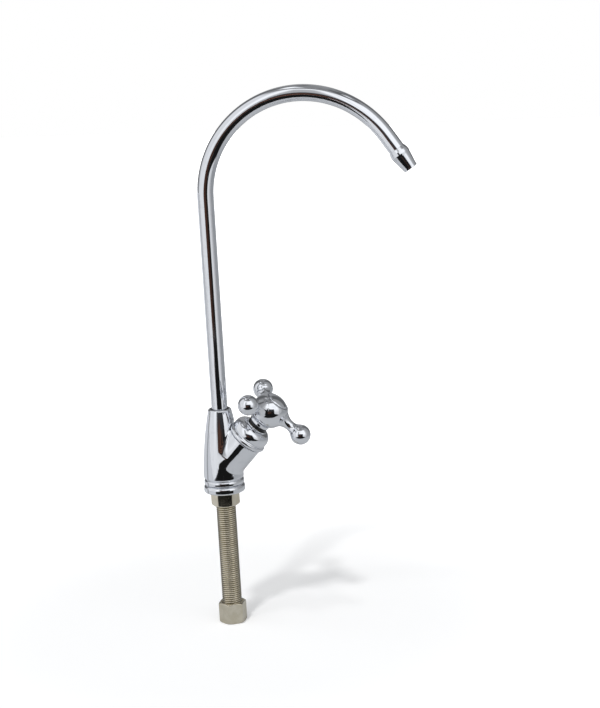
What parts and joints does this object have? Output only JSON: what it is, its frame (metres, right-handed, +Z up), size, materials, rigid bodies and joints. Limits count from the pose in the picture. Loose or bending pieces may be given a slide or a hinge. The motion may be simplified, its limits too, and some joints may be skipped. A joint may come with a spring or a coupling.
{
  "type": "reverse_osmosis_faucet",
  "caption": "Reverse osmosis faucet: chromed gooseneck spout on a Y body with a three-arm handle, and a threaded shank with a supply nut below the worktop.",
  "frame": {"origin": "centre of the base ring's underside, in the plane of the worktop that it stands on", "axes": "+Z up the spout tube, away from the worktop; +X the way the spout and the valve branch lean; +Y to the left of someone who looks along +X"},
  "size_m": [0.1358, 0.0518, 0.3214],
  "materials": {
    "chrome": "polished chrome plate on cast and turned brass",
    "nickel": "thin satin nickel plate on turned brass",
    "brass": "plain turned brass",
    "rubber": "black moulded rubber",
    "black_plastic": "black moulded plastic",
    "ceramic": "lapped white ceramic",
    "spring_steel": "bright spring steel"
  },
  "bodies": {
    "body": {"valve_body": "chrome", "base_ring": "chrome", "bonnet": "chrome", "threaded_shank": "nickel", "mounting_nut": "nickel", "compression_nut": "nickel", "compression_sleeve": "brass", "cartridge_housing": "brass", "base_gasket": "rubber", "housing_seal": "rubber", "seat_seal": "rubber", "neck_ring": "black_plastic", "spout_bush": "black_plastic", "fixed_disc": "ceramic", "spout_clip": "spring_steel"},
    "spout": {"spout_tube": "chrome", "spout_nozzle": "chrome", "spout_spigot": "brass", "spout_seal_lower": "rubber", "spout_seal_upper": "rubber"},
    "handle_group": {"handle": "chrome", "handle_button": "chrome", "handle_screw": "spring_steel", "valve_stem": "brass", "moving_disc": "ceramic", "stem_seal": "rubber", "stem_clip": "spring_steel"}
  },
  "joints": [
    {"name": "spout_swivel", "type": "hinge", "parent": "body", "child": "spout", "pos_m": [0, 0, 0.05], "axis": [0, 0, 1], "continuous": true},
    {"name": "handle_turn", "type": "hinge", "parent": "body", "child": "handle_group", "pos_m": [0, 0, 0.0154], "axis": [0.6691, 0, 0.7431], "range_deg": [0, 90]}
  ]
}
